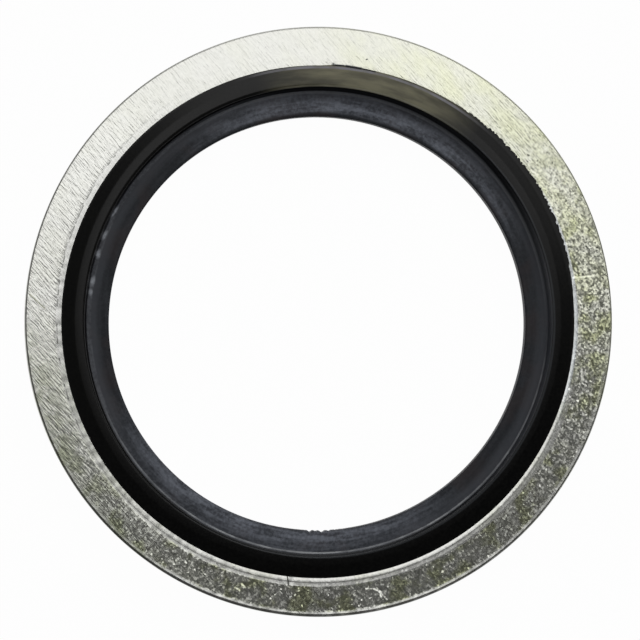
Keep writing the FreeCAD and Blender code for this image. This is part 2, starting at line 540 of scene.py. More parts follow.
def coined(depth, clock):
    """How deep the land is in a direction, where its section is drawn that deep. Its inner slope
    and its outer step are deepest in different directions."""
    step = np.minimum(depth, STEP_DEPTH)
    slope_share = 0.10 + 0.90 * (0.5 + 0.5 * np.cos(clock - LAND_DEEPEST))
    step_share = np.clip(0.35 + 0.65 * np.cos(clock - STEP_DEEPEST), 0, 1)
    waves = 1 + 0.4 * wander(clock, LAND_END, 0, STEP_WAVES, 7)
    return (depth - step) * slope_share + step * step_share * waves


print("land ends at, mm:", round(LAND_END, 2), "rim's lip starts at:", round(BREAK_START, 2))

# %% [markdown]
# Settling the steel
#
# One rule then moves every point of the ring. It deepens the land, cuts the nick, lets the lip
# and the break grow towards the bottom, and slides the hole off the rim's centre, while the rim
# itself stays true. Sculpting by hand could do the same, but not to a hundredth of a millimetre.

# %% Settle the steel
def settle_steel(radius, clock, height):
    """The land, the break and the lip fade towards the top, and the hole is a little off."""
    off_middle = height - MIDDLE
    depth = FACE_HALF - abs(off_middle)
    on_land = (radius < LAND_END) & (depth > 0) & (depth < 0.1)
    from_nick = abs((clock - NICK_CLOCK) * radius)
    nick = NICK_DEPTH * np.clip(1 - from_nick / NICK_HALF_WIDTH, 0, 1)
    inside = (radius > BOND_RADIUS + 0.05) & (radius < LAND_END - 0.05)
    depth = np.where(on_land, coined(depth, clock) + nick * inside, depth)
    rolled = 0.5 - 0.5 * np.cos(clock)
    at_rim = (radius > BREAK_START - 0.001) & (depth < BREAK_DEPTH + BREAK_ROUND)
    beaded = rolled**3 * (1 + 0.6 * wander(clock, RIM_RADIUS, 0, LIP_BEADS, 9))
    share = np.where(depth < 0, beaded, 0.65 - 0.85 * rolled + 1.2 * rolled * rolled)
    depth = np.where(at_rim, depth * share, depth)
    wide = np.where(at_rim, 0.72 - 0.5 * rolled + 0.83 * rolled * rolled, 1)
    wide *= 1 + 0.08 * wander(clock, RIM_RADIUS, 0, 0.9, 4) * at_rim
    radius = RIM_RADIUS - (RIM_RADIUS - radius) * wide
    near_land_end = ease(radius, BOND_RADIUS, LAND_END)
    past_land = ease(radius, LAND_END, LAND_END + 0.3)
    radius += (1 - near_land_end) * settle_bore(clock)
    radius += near_land_end * (1 - past_land) * slide(clock, *LAND_SLIDE)
    return radius, clock, MIDDLE + np.sign(off_middle) * (FACE_HALF - depth)


print("steel points moved:", reshape(steel, settle_steel))

# %% [markdown]
# The rubber ring
#
# The rubber is one moulding: a thin lip with a rounded tip, a fillet, the drafted inner wall
# of the bead, a narrow flat crest, a shoulder that falls away gently, and the flank that comes
# down to the steel. It is drawn and turned the same way.
#
# A little rubber always creeps past the mould's nip as a thin skin, the flash. It is part of
# the same outline here: a film that lies on the coined land, whose width is set afterwards.

# %% Rubber section
LIP_HALF = 0.50
WALL_FOOT_RADIUS = BOND_RADIUS - 1.66
WALL_DRAFT = math.radians(3)
CREST_WIDTH = 0.16
SHOULDER_WIDTH = 0.54
SHOULDER_FALL = 0.04
TIP_ROUND = 0.12
ROOT_ROUND = 0.13
CREST_INNER_ROUND = 0.12
SHOULDER_ROUND = 0.60
FLASH_DRAWN = 0.20
FLASH_THICK = 0.012
wall_top_radius = WALL_FOOT_RADIUS + (CREST_HALF - LIP_HALF) * math.tan(WALL_DRAFT)
shoulder_radius = wall_top_radius + CREST_WIDTH + SHOULDER_WIDTH

rubber = draw_section(
    "rubber_seal_moulded",
    [
        (LIP_RADIUS, LIP_HALF),
        (WALL_FOOT_RADIUS, LIP_HALF),
        (wall_top_radius, CREST_HALF),
        (wall_top_radius + CREST_WIDTH, CREST_HALF),
        (shoulder_radius, CREST_HALF - SHOULDER_FALL),
        (BOND_RADIUS - 0.03, FACE_HALF - LAND[0][1] + FLASH_THICK),
        (BOND_RADIUS + FLASH_DRAWN, FACE_HALF - LAND[0][1] + FLASH_THICK),
        (BOND_RADIUS, FACE_HALF - LAND[0][1] - 0.02),
    ],
)
only(rubber)
bpy.ops.object.mode_set(mode="EDIT")
round_corner(rubber, LIP_RADIUS, LIP_HALF, TIP_ROUND, 4)
round_corner(rubber, WALL_FOOT_RADIUS, LIP_HALF, ROOT_ROUND, 5)
round_corner(rubber, wall_top_radius, CREST_HALF, CREST_INNER_ROUND, 4)
round_corner(rubber, shoulder_radius, CREST_HALF - SHOULDER_FALL, SHOULDER_ROUND, 3)
divide_sides(rubber, 0.19)
bpy.ops.object.mode_set(mode="OBJECT")
print("rubber section points:", len(rubber.data.vertices))
turn_ring(rubber)

# %% [markdown]
# Out of round
#
# A soft moulding is never quite true. The mould's halves sat about a tenth of a millimetre
# apart, so the lip is off centre towards the bottom of the picture and slightly oval, while
# the crest is off centre to the left. The flash crept out at the upper right, where its edge
# tore into small teeth when the mould opened, and the lip's edge at the bottom was nibbled
# where a gate or a vent was trimmed.

# %% Uneven rubber
LIP_SLIDE = (-0.075, -0.125)
CREST_SLIDE = (-0.15, 0.065)
LIP_OVAL = 0.088
LIP_TIGHT = 0.02
FLASH_WIDTHS = (  # clock direction in degrees, and width in mm
    (0, 0.01), (3, 0.09), (12, 0.07), (28, 0.11), (42, 0.20), (62, 0.22), (76, 0.12), (86, 0.01),
)
TOOTH_SIZE = 0.24
TOOTH_DEPTH = 0.15
BITES = (  # clock direction in degrees, half width and depth in mm
    (182.6, 0.12, 0.13), (180.9, 0.09, 0.05), (179.3, 0.17, 0.13), (177.3, 0.10, 0.08),
)
RAGGED_FROM = math.radians(172)
RAGGED_TO = math.radians(186)
RAGGED_DEPTH = 0.06


def settle_rubber(radius, clock, height):
    """Slides the lip and the crest, makes the bore oval, tears the flash and bites the lip."""
    stations = (WALL_FOOT_RADIUS, wall_top_radius + 0.05, shoulder_radius, BOND_RADIUS)
    across = np.interp(radius, stations, (LIP_SLIDE[0], CREST_SLIDE[0], CREST_SLIDE[0], BORE_SLIDE[0]))
    up = np.interp(radius, stations, (LIP_SLIDE[1], CREST_SLIDE[1], CREST_SLIDE[1], BORE_SLIDE[1]))
    towards_tip = 1 - ease(radius, LIP_RADIUS, WALL_FOOT_RADIUS)
    at_tip = 1 - ease(radius, LIP_RADIUS, LIP_RADIUS + 0.5)
    wide, tight = LIP_OVAL * np.cos(2 * clock), LIP_TIGHT
    new_radius = radius + slide(clock, across, up) - towards_tip * (wide + tight)
    open_by = BORE_OPEN - BORE_OVAL * np.cos(2 * clock)
    new_radius += ease(radius, shoulder_radius, BOND_RADIUS) * open_by
    for degrees, half_width, depth in BITES:
        along = abs(clock - math.radians(degrees)) * LIP_RADIUS
        new_radius += at_tip * depth * np.clip(1.3 - along / half_width, 0, 1)
    in_rags = ease(clock, RAGGED_FROM, RAGGED_FROM + 0.05) * (1 - ease(clock, RAGGED_TO - 0.05, RAGGED_TO))
    new_radius += at_tip * RAGGED_DEPTH * in_rags * abs(wander(clock, LIP_RADIUS, 0, 0.22, 5))
    off_middle = height - MIDDLE
    lift = (LAND[0][1] - coined(LAND[0][1], clock)) * ease(radius, shoulder_radius, BOND_RADIUS)
    lift = np.where(abs(off_middle) > FACE_HALF - 0.1, lift, 0)
    new_height = height + np.sign(off_middle) * lift
    in_flash = radius > BOND_RADIUS + 0.001
    degrees, widths = zip(*FLASH_WIDTHS)
    width = np.interp(np.degrees(clock), degrees, widths)
    torn = ease(np.degrees(clock), 30, 42) * (1 - ease(np.degrees(clock), 72, 84))
    teeth = TOOTH_DEPTH * torn * (0.5 - 2.2 * abs(wander(clock, BOND_RADIUS, 0, TOOTH_SIZE, 3)))
    out = (radius - BOND_RADIUS) / FLASH_DRAWN * np.maximum(width + teeth, 0.005)
    land_out, land_down = zip(*LAND)
    lies_at = FACE_HALF - coined(np.interp(out, land_out, land_down), clock) + FLASH_THICK
    new_radius = np.where(in_flash, BOND_RADIUS + out + settle_bore(clock), new_radius)
    top = MIDDLE + np.sign(off_middle) * lies_at
    return new_radius, clock, np.where(in_flash, top, new_height)


print("rubber points moved:", reshape(rubber, settle_rubber))

# %% [markdown]
# How the rings join the frame
#
# A part in the library has plain solids for its sizes and dressed pieces for its looks. Each
# dressed ring moves with a body, and the solid that it stands for is hidden. Its faces are shaded
# as one smooth surface, but for edges sharper than 35 degrees.

# %% Rows of the frame
for piece, node, slot in (
    (steel, "steel_ring", "zinc_plated_steel"),
    (rubber, "rubber_seal", "nitrile_rubber"),
):
    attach(piece, "root")
    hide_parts(node)
    only(piece)
    bpy.ops.object.shade_smooth_by_angle(angle=math.radians(35))
    print(piece.name, "stands for", node)

# %% [markdown]
# Names for settings
#
# Three kinds of node do most of the work in both materials. Math multiplies shares where all
# of them have to hold, takes the greatest where any of them will do, and adds a share of one
# amount to another. Map Range turns a measure into a share with a soft start and end. Vector
# Math does sums on places. Their settings get names here, so that a step below is one line
# where it can be.

# %% Names for settings
MATH = "ShaderNodeMath"
TIMES = {"operation": "MULTIPLY"}
TIMES_PLUS = {"operation": "MULTIPLY_ADD"}  # the first times the second, plus the third
GREATEST = {"operation": "MAXIMUM"}
VECTOR_MATH = "ShaderNodeVectorMath"
DOT = {"operation": "DOT_PRODUCT"}
LENGTH = {"operation": "LENGTH"}
ADD = {"operation": "ADD"}
SCALE = {"operation": "SCALE"}
RANGE = "ShaderNodeMapRange"
SOFTLY = {"interpolation_type": "SMOOTHSTEP"}  # 0 is the value, 1 where it starts, 2 where it ends
MAPPING = "ShaderNodeMapping"
IN_PLACE = {"vector_type": "TEXTURE"}  # moves, turns and sizes a pattern as if it were a thing
print("sums on shares:", [kind["operation"] for kind in (TIMES, TIMES_PLUS, GREATEST)])

# %% [markdown]
# Places that a finish follows
#
# A pattern has to know where it is. Object coordinates give each point's own place in the
# washer, and a Mapping node in its texture mode takes a pattern's real size and turn, so that
# one unit of the pattern is one bump of that size. The distance from the axis and the clock
# direction come out of them too, for what the mould and the press did ring by ring and side by
# side.
#
# Each of these places ends as a share, which is 1 where a finish is and 0 where it isn't, with
# a soft edge between. Masks could be painted by hand, but a share that is worked out from
# millimetres and angles can be read and changed.

# %% Rings and sides
OUTSIDE = RIM_RADIUS + 1  # for a band that has no outer end


def ring_distance(tree, place):
    """The distance from the washer's axis, in metres."""
    flat = add_node(tree, VECTOR_MATH, TIMES, {0: place, 1: (1, 1, 0)})
    return add_node(tree, VECTOR_MATH, LENGTH, {0: flat.outputs[0]}).outputs["Value"]


def band(tree, distance, inner, outer, soft):
    """The share between two radii in mm, fading to 0 over a soft width outside them."""
    inside, outside = [
        add_node(tree, RANGE, SOFTLY, {0: distance, 1: start * MM, 2: end * MM}).outputs[0]
        for start, end in ((inner - soft, inner), (outer + soft, outer))
    ]
    return add_node(tree, MATH, TIMES, {0: inside, 1: outside}).outputs[0]


def side(tree, place, distance, turn, start, end):
    """The share of one side of the ring. It goes from 0 to 1 as the cosine of the angle from
    that clock direction goes from start to end."""
    towards = add_node(
        tree, VECTOR_MATH, DOT, {0: place, 1: (math.sin(turn), math.cos(turn), 0)}
    ).outputs["Value"]
    cosine = add_node(tree, MATH, {"operation": "DIVIDE"}, {0: towards, 1: distance}).outputs[0]
    return add_node(tree, RANGE, SOFTLY, {0: cosine, 1: start, 2: end}).outputs[0]


print("a band with no outer end stops at", round(OUTSIDE, 2))

# %% [markdown]
# Speckle
#
# Most finishes are uneven at some size of their own: grain, pores, streaks, patches of tint.
# Noise gives all of them, if its patches have the real size in millimetres and its grey is cut
# off at two levels, which set how much of the surface it covers and how sharp its edges are.

# %% Speckle
SCRATCH_TURN = math.radians(-50)  # the brush went from upper left to lower right


def speckle(tree, place, size, detail, low, high, turn=0.0):
    """Noise whose patches are (along, across, up) mm, turned in plan, as a share that goes from
    0 where the noise is low to 1 where it is high."""
    scale = [length * MM for length in size]
    scaled = add_node(
        tree, MAPPING, IN_PLACE, {"Vector": place, "Rotation": (0, 0, turn), "Scale": scale}
    )
    patches = add_node(
        tree,
        "ShaderNodeTexNoise",
        inputs={"Vector": scaled.outputs["Vector"], "Scale": 1.0, "Detail": detail},
    )
    return add_node(tree, RANGE, SOFTLY, {0: patches.outputs["Fac"], 1: low, 2: high}).outputs[0]


print("brush lines run at, deg:", round(math.degrees(SCRATCH_TURN)))

# %% [markdown]
# Single marks
#
# Scratches and smudges are where they are by accident, so each is placed one by one. A scratch
# is a straight stroke between two places, and a longer one is several strokes. A stroke gives a
# share that is 1 on the mark and 0 away from it. Scratches could be cut into the mesh, but most
# are thinner than its rings. The places are read off the picture, in pixels from its upper left
# corner, and turned to millimetres on the washer.

# %% Marks
def on_washer(pixel):
    """The place on the steel's face, in mm, that the camera draws at that pixel."""
    return (
        aim.x + (pixel[0] - PICTURE_PIXELS / 2) / PIXELS_PER_MM / math.cos(TILT_LEFT),
        aim.y + (PICTURE_PIXELS / 2 - pixel[1]) / PIXELS_PER_MM / math.cos(TILT_DOWN),
    )


def stroke(tree, place, start, end, width):
    """The share of a straight scratch between two pixels, of that width in mm."""
    (x0, y0), (x1, y1) = on_washer(start), on_washer(end)
    half_length = math.hypot(x1 - x0, y1 - y0) / 2
    moved = add_node(
        tree,
        MAPPING,
        IN_PLACE,
        {
            "Vector": place,
            "Location": ((x0 + x1) / 2 * MM, (y0 + y1) / 2 * MM, 0),
            "Rotation": (0, 0, math.atan2(y1 - y0, x1 - x0)),
            "Scale": (MM, MM, MM),
        },
    )
    apart = add_node(tree, "ShaderNodeSeparateXYZ", inputs={0: moved.outputs["Vector"]})
    shares = []
    for way, start_fade, end_fade in (
        ("X", half_length + width / 2, half_length - width / 2),
        ("Y", width * 0.75, width * 0.25),
    ):
        away = add_node(tree, MATH, {"operation": "ABSOLUTE"}, {0: apart.outputs[way]}).outputs[0]
        near = add_node(tree, RANGE, SOFTLY, {0: away, 1: start_fade, 2: end_fade}).outputs[0]
        shares.append(near)
    return add_node(tree, MATH, TIMES, {0: shares[0], 1: shares[1]}).outputs[0]


print("picture's middle on the washer, mm:", [round(size, 2) for size in on_washer((320, 320))])

# %% [markdown]
# Bright zinc on brushed steel
#
# The ring is cold-rolled steel, brushed flat, then zinc plated with a clear passivation. Zinc
# mirrors about six tenths of the light, a little more in yellow than in blue, and the film
# adds a faint straw tint in patches. The brush left fine lines that all run one way, and the
# plating has grown a fine crystal grain over them, whose facets tip a degree or so each way
# and glitter. A metallic surface with a clear mirror, two scales of line and one of grain
# gives all of that.
#
# The material starts with its places. Where the mould pressed the coined land, where the rim's
# lip stands and in a clean strip beside the rubber at the right, the lines and the grain are
# mostly pressed away. The grain grew coarse only towards the lower right.

# %% Zinc places
LAND_TURN = math.radians(210)
LIP_TURN = math.radians(180)
STRIP_TURN = math.radians(85)
GRAIN_TOWARDS = (0.60, -0.80, 0)
PRESSED_AWAY = 0.8

zinc = bpy.data.materials.new("bright_zinc_on_brushed_steel")
zinc.use_nodes = True
plate = zinc.node_tree
plate.nodes.clear()
zinc_place = add_node(plate, "ShaderNodeTexCoord").outputs["Object"]
zinc_distance = ring_distance(plate, zinc_place)


def zinc_side(turn, start, end):
    """The share of one side of the steel ring."""
    return side(plate, zinc_place, zinc_distance, turn, start, end)


on_land = band(plate, zinc_distance, 0, LAND_END - 0.05, 0.08)
land_zone = add_node(plate, MATH, TIMES, {0: on_land, 1: zinc_side(LAND_TURN, -0.7, 0.1)}).outputs[0]
on_lip = band(plate, zinc_distance, BREAK_START + 0.02, OUTSIDE, 0.08)
lip_zone = add_node(plate, MATH, TIMES, {0: on_lip, 1: zinc_side(LIP_TURN, -0.2, 0.7)}).outputs[0]
by_rubber = band(plate, zinc_distance, 0, BOND_RADIUS + 0.20, 0.12)
strip_side = zinc_side(STRIP_TURN, 0.85, 0.97)
strip_zone = add_node(plate, MATH, TIMES, {0: by_rubber, 1: strip_side}).outputs[0]
pressed = land_zone
for zone in (lip_zone, strip_zone):
    pressed = add_node(plate, MATH, GREATEST, {0: pressed, 1: zone}).outputs[0]
unpressed = add_node(plate, MATH, TIMES_PLUS, {0: pressed, 1: -PRESSED_AWAY, 2: 1.0}).outputs[0]
grain_way = add_node(plate, VECTOR_MATH, DOT, {0: zinc_place, 1: GRAIN_TOWARDS}).outputs["Value"]
grain_from, grain_to = -0.35 * RIM_RADIUS, 0.5 * RIM_RADIUS
grain_zone = add_node(
    plate, RANGE, SOFTLY, {0: grain_way, 1: grain_from * MM, 2: grain_to * MM}
).outputs[0]
print("land ends at", round(LAND_END, 2), "rim's lip starts at", round(BREAK_START, 2))

# %% [markdown]
# Brush lines
#
# A wire brush leaves lines about a hundredth of a millimetre wide, too fine to show here, so
# they are drawn a tenth of a millimetre wide and up to a millimetre long. They are height for a
# Bump node, a few thousandths of a millimetre deep: a mesh that fine would be far too heavy.
# They are faint where the lamp washes them out, at the top, and under the coarse grain.

# %% Zinc lines
LINE_DEPTH = 0.0034
FINE_DEPTH = 0.0052
HIDDEN_BY_LIGHT = 0.6
HIDDEN_MOST = 0.8

cut_lines = speckle(plate, zinc_place, (0.9, 0.11, 1.0), 1.0, 0.53, 0.70, SCRATCH_TURN)
fine_lines = speckle(plate, zinc_place, (0.7, 0.12, 1.0), 1.0, 0.30, 0.70, SCRATCH_TURN)
cut = add_node(plate, MATH, TIMES, {0: cut_lines, 1: -LINE_DEPTH}).outputs[0]
relief = add_node(plate, MATH, TIMES_PLUS, {0: fine_lines, 1: FINE_DEPTH, 2: cut}).outputs[0]
top_side = zinc_side(0.0, 0.5, 1.0)
washed_out = add_node(plate, MATH, TIMES, {0: top_side, 1: HIDDEN_BY_LIGHT}).outputs[0]
hidden = add_node(plate, MATH, GREATEST, {0: washed_out, 1: grain_zone}).outputs[0]
shown = add_node(plate, MATH, TIMES_PLUS, {0: hidden, 1: -HIDDEN_MOST, 2: 1.0}).outputs[0]
for share in (unpressed, shown):
    relief = add_node(plate, MATH, TIMES, {0: relief, 1: share}).outputs[0]
print("line depths, mm:", LINE_DEPTH, FINE_DEPTH)

# %% [markdown]
# Crystal grain and sparkle
#
# Each grain of the plating is a small mirror with its own slight tip. Voronoi cells are such
# grains, and a cell's random colour serves as its tip. Bump could raise them, but a bump's
# slopes are rounded, and it is flat facets that glitter. A few grains in a hundred tip far
# enough to flash. Real grains are about a twentieth of a millimetre, and these are drawn
# coarser, so that they show.

# %% Zinc grain
GRAIN_SIZE = 0.14
EVEN_TIP = 0.026
GRAIN_TIP = 0.065
SPARK_TIP = 0.30

grain_cells = add_node(
    plate, MAPPING, IN_PLACE, {"Vector": zinc_place, "Scale": (GRAIN_SIZE * MM,) * 3}
)
grains = add_node(
    plate, "ShaderNodeTexVoronoi", inputs={"Vector": grain_cells.outputs["Vector"], "Scale": 1.0}
).outputs["Color"]
grain_pick = add_node(plate, "ShaderNodeSeparateXYZ", inputs={0: grains}).outputs["Z"]
picked = add_node(plate, RANGE, SOFTLY, {0: grain_pick, 1: 0.93, 2: 0.98}).outputs[0]
sparks = add_node(plate, MATH, TIMES, {0: picked, 1: grain_zone}).outputs[0]
tip_size = EVEN_TIP
for zone, tip in ((grain_zone, GRAIN_TIP), (sparks, SPARK_TIP)):
    tip_size = add_node(plate, MATH, TIMES_PLUS, {0: zone, 1: tip, 2: tip_size}).outputs[0]
tip_size = add_node(plate, MATH, TIMES, {0: tip_size, 1: unpressed}).outputs[0]
tips = add_node(
    plate, VECTOR_MATH, {"operation": "SUBTRACT"}, {0: grains, 1: (0.5, 0.5, 0.5)}
).outputs[0]
tipped = add_node(plate, VECTOR_MATH, SCALE, {0: tips, "Scale": tip_size}).outputs[0]
print("grain, mm:", GRAIN_SIZE, "tips:", EVEN_TIP, GRAIN_TIP, SPARK_TIP)

# %% [markdown]
# Scratches
#
# A few scratches came later, from handling. The burr beside each one leans towards the lamp and
# flashes, so a scratch here turns the surface a little that way. The tips of the grains and of
# the burrs are added to the mesh's own direction before the brush lines are bumped on top.

# %% Zinc scratches
SCRATCH_WIDTH = 0.12
SCRATCH_TIP = (0.02, 0.10, 0.0)
SCRATCHES = (  # start and end pixels
    ((365.4, 589.0), (373.0, 588.7)),
    ((373.0, 588.7), (378.4, 590.5)),
    ((378.4, 590.5), (382.0, 598.5)),
    ((379.5, 590.5), (387.6, 600.5)),
    ((235.0, 586.0), (240.6, 590.0)),
    ((241.4, 582.0), (246.0, 587.0)),
    ((575.0, 277.0), (596.0, 275.0)),
)


def together(tree, marks):
    """Several marks as one share, which is the greatest of theirs."""
    share = marks[0]
    for mark in marks[1:]:
        share = add_node(tree, MATH, GREATEST, {0: share, 1: mark}).outputs[0]
    return share


scratched = together(
    plate, [stroke(plate, zinc_place, start, end, SCRATCH_WIDTH) for start, end in SCRATCHES]
)
leaning = add_node(plate, VECTOR_MATH, SCALE, {0: SCRATCH_TIP, "Scale": scratched}).outputs[0]
zinc_facing = add_node(plate, "ShaderNodeNewGeometry").outputs["Normal"]
for tilt in (tipped, leaning):
    zinc_facing = add_node(plate, VECTOR_MATH, ADD, {0: zinc_facing, 1: tilt}).outputs[0]
zinc_facing = add_node(
    plate, VECTOR_MATH, {"operation": "NORMALIZE"}, {0: zinc_facing}
).outputs[0]
zinc_relief = add_node(
    plate, "ShaderNodeBump", inputs={"Height": relief, "Distance": MM, "Normal": zinc_facing}
).outputs["Normal"]
print("scratch strokes:", len(SCRATCHES))

# %% [markdown]
# Tints of the passivation
#
# The clear passivation is a film thinner than a wavelength, so its tint changes with its
# thickness: straw at the upper right, olive in patches on the grain, and a grey green stain at
# the lower left. Each is laid over the zinc's own colour. Dark flecks between the grains and a
# little shade in the brush lines follow, and the clean strip stays a cold white.
#
# Each tint is there only where several things hold at once, such as on the grain, in patches,
# and not on the land. So a layer lays one colour over another as far as the product of its
# shares allows. The same could be wired node by node, but that would hide what is meant.

# %% Zinc tints
STRAW_TURN = math.radians(48)
STAIN_TURN = math.radians(240)
PAINTED_SHADE_TURN = math.radians(-15)  # the steel is painted a little darker there: painted shade


def layer(tree, under, over, *shares):
    """One colour laid over another as far as all the shares allow. A share may be a number."""
    allowed = shares[0]
    for share in shares[1:]:
        allowed = add_node(tree, MATH, TIMES, {0: allowed, 1: share}).outputs[0]
    return add_node(
        tree, "ShaderNodeMix", {"data_type": "RGBA"}, {"Factor": allowed, 6: under, 7: over}
    ).outputs[2]


straw_patches = speckle(plate, zinc_place, (2.6, 1.4, 1.0), 2.0, 0.30, 0.75, SCRATCH_TURN)
straw_share = 0.12
for share, amount in ((zinc_side(STRAW_TURN, 0.5, 1.0), 0.48), (grain_zone, 0.10)):
    straw_share = add_node(plate, MATH, TIMES_PLUS, {0: share, 1: amount, 2: straw_share}).outputs[0]
uneven = add_node(plate, MATH, TIMES_PLUS, {0: straw_patches, 1: 0.7, 2: 0.6}).outputs[0]
zinc_colour = layer(plate, colour("#CFCFCC"), colour("#CBCDAE"), straw_share, uneven, unpressed)
olive_patches = speckle(plate, zinc_place, (1.5, 1.5, 1.5), 4.0, 0.45, 0.62)
olive_zone = add_node(plate, MATH, TIMES, {0: grain_zone, 1: unpressed}).outputs[0]
zinc_colour = layer(plate, zinc_colour, colour("#A6AB76"), olive_patches, olive_zone, 0.62)
towards_rim = band(plate, zinc_distance, RIM_RADIUS, OUTSIDE, RIM_RADIUS - LAND_END)
outwards = add_node(plate, MATH, TIMES_PLUS, {0: towards_rim, 1: 0.35, 2: 0.22}).outputs[0]
patchy = add_node(plate, MATH, TIMES_PLUS, {0: olive_patches, 1: 0.7, 2: 0.5}).outputs[0]
stain_side = zinc_side(STAIN_TURN, 0.82, 1.0)
zinc_colour = layer(plate, zinc_colour, colour("#7E8562"), stain_side, outwards, patchy)
# painted shade: a tenth of a darker grey over the steel towards the top, a little to the left
zinc_colour = layer(plate, zinc_colour, colour("#9A9A94"), zinc_side(PAINTED_SHADE_TURN, 0.75, 0.97), 0.10)
flecks = speckle(plate, zinc_place, (0.28, 0.16, 0.20), 2.0, 0.42, 0.66, SCRATCH_TURN)
fleck_share = add_node(plate, MATH, TIMES_PLUS, {0: olive_zone, 1: 0.43, 2: 0.04}).outputs[0]
zinc_colour = layer(plate, zinc_colour, colour("#75796C"), flecks, fleck_share)
zinc_colour = layer(plate, zinc_colour, colour("#D3D8DC"), strip_zone, 0.6)
zinc_colour = layer(plate, zinc_colour, colour("#77786E"), cut_lines, unpressed, 0.13)
print("straw towards, deg:", round(math.degrees(STRAW_TURN)), "stain:", round(math.degrees(STAIN_TURN)))

# %% [markdown]
# Dirt and painted shade
#
# Dirt and painted shade lie in the step at the land's end, where they make a broken line on the
# left, and the nick is painted dark as shade. Dirt stays where a cloth can't reach it, in one
# brush line that went deeper than the rest. The rim's break is painted darker at the bottom, a
# painted reflection of the shaded card beside it. At the top a few thin scraps of rubber tore off
# on the steel when the mould opened, and a dark stroke along the flash's edge is painted shadow.
# All of them are colours laid over the tints, each on its own place.

# %% Zinc dirt and painted shade
STEP_RADIUS = 19.12
STEP_TURN = math.radians(280)
NICK_SHADE_LINE = ((287.4, 575.5), (288.6, 584.5), 0.09)  # start and end pixels and width in mm
DEEP_LINE = ((32.1, 294.4), (47.4, 309.1), 0.10)
SCRAPS_AND_EDGE_SHADOW = (
    ((332.4, 63.6), (334.4, 64.4), 0.22),
    ((334.0, 64.6), (345.0, 65.3), 0.13),
    ((345.0, 65.3), (362.0, 68.0), 0.17),
    ((362.0, 68.0), (376.0, 71.0), 0.10),
    ((366.0, 58.8), (368.0, 58.3), 0.08),
)

# dirt and painted shade: a broken dark line in the step at the land's end, on the left
dirt_and_shade_dashes = speckle(plate, zinc_place, (0.35, 0.35, 0.35), 2.0, 0.42, 0.58)
in_step = band(plate, zinc_distance, STEP_RADIUS - 0.03, STEP_RADIUS + 0.03, 0.04)
step_dirt_and_shade_side = zinc_side(STEP_TURN, 0.75, 0.92)
zinc_colour = layer(plate, zinc_colour, colour("#5E605A"), dirt_and_shade_dashes, in_step, step_dirt_and_shade_side, 0.75)
# painted shade: the nick is drawn as a dark stroke
zinc_colour = layer(plate, zinc_colour, colour("#464742"), stroke(plate, zinc_place, *NICK_SHADE_LINE))
zinc_colour = layer(plate, zinc_colour, colour("#77795C"), stroke(plate, zinc_place, *DEEP_LINE), 0.6)
# painted shade: the rim's break is darker at the bottom, a painted reflection of the shaded card beside it
at_break = band(plate, zinc_distance, RIM_RADIUS - 0.10, OUTSIDE, 0.06)
break_shade_side = zinc_side(LIP_TURN, 0.45, 0.95)
zinc_colour = layer(plate, zinc_colour, colour("#50524E"), at_break, break_shade_side, 0.8)
# scraps of rubber and painted shadow: dark strokes along the flash's edge at the top
scraps_and_shadow = together(plate, [stroke(plate, zinc_place, *scrap) for scrap in SCRAPS_AND_EDGE_SHADOW])
zinc_colour = layer(plate, zinc_colour, colour("#23252C"), scraps_and_shadow)
print("scraps of rubber on the steel:", len(SCRAPS_AND_EDGE_SHADOW))

# %% [markdown]
# The plated surface
#
# Plated zinc is a metal all through to the eye, so Metallic is 1 and its colour is the colour of
# its mirror. Its roughness is that of a satin plate. The land is a little rougher, and the rim's
# break was tumbled, which leaves it rougher still, except at the bottom, where it keeps the satin
# roughness and is painted dark as shade.

# %% Zinc surface
SATIN = 0.20
LAND_ROUGHER = 0.02
BREAK_ROUGHER = 0.20

worn = add_node(plate, MATH, TIMES, {0: at_break, 1: zinc_side(LIP_TURN, 0.7, 0.0)}).outputs[0]
zinc_rough = SATIN
for zone, rougher in ((land_zone, LAND_ROUGHER), (worn, BREAK_ROUGHER)):
    zinc_rough = add_node(plate, MATH, TIMES_PLUS, {0: zone, 1: rougher, 2: zinc_rough}).outputs[0]
zinc_surface = add_node(
    plate,
    "ShaderNodeBsdfPrincipled",
    inputs={
        "Base Color": zinc_colour,
        "Metallic": 1.0,
        "Roughness": zinc_rough,
        "Normal": zinc_relief,
    },
)
add_node(plate, "ShaderNodeOutputMaterial", inputs={"Surface": zinc_surface.outputs[0]})
steel.data.materials.clear()
steel.data.materials.append(zinc)
print("zinc nodes:", len(plate.nodes))

# %% [markdown]
# Moulded black nitrile
#
# Nitrile rubber is filled with carbon black, so almost no light comes back out of it, and what
# the eye sees is the surface. The bead was moulded against polished steel and is glossy. The
# lip was wiped and flexed, and is matt with a faint blue-grey bloom in streaks that run round
# it, strongest towards the top and the bottom of the picture. The bead's top carries a dull film,
# and its khaki colour is a painted reflection of the lamp. The root of the lip holds pale dust
# and painted light.
#
# The material starts with its places too, and one more: a place that runs round the ring, for
# wipe marks that follow it. Three kinds of speckle use them: long streaks that run round,
# broader ones for the film and its painted reflection, and pores.

# %% Rubber places
def round_place(tree, place, distance):
    """A place whose X and Y follow the ring round and whose Z is the distance from the axis."""
    flat = add_node(tree, VECTOR_MATH, TIMES, {0: place, 1: (1, 1, 0)})
    stretch = add_node(tree, MATH, {"operation": "DIVIDE"}, {0: BOND_RADIUS * MM, 1: distance})
    on_ring = add_node(
        tree, VECTOR_MATH, SCALE, {0: flat.outputs[0], "Scale": stretch.outputs[0]}
    ).outputs[0]
    outwards = add_node(tree, "ShaderNodeCombineXYZ", inputs={"Z": distance}).outputs[0]
    return add_node(tree, VECTOR_MATH, ADD, {0: on_ring, 1: outwards}).outputs[0]


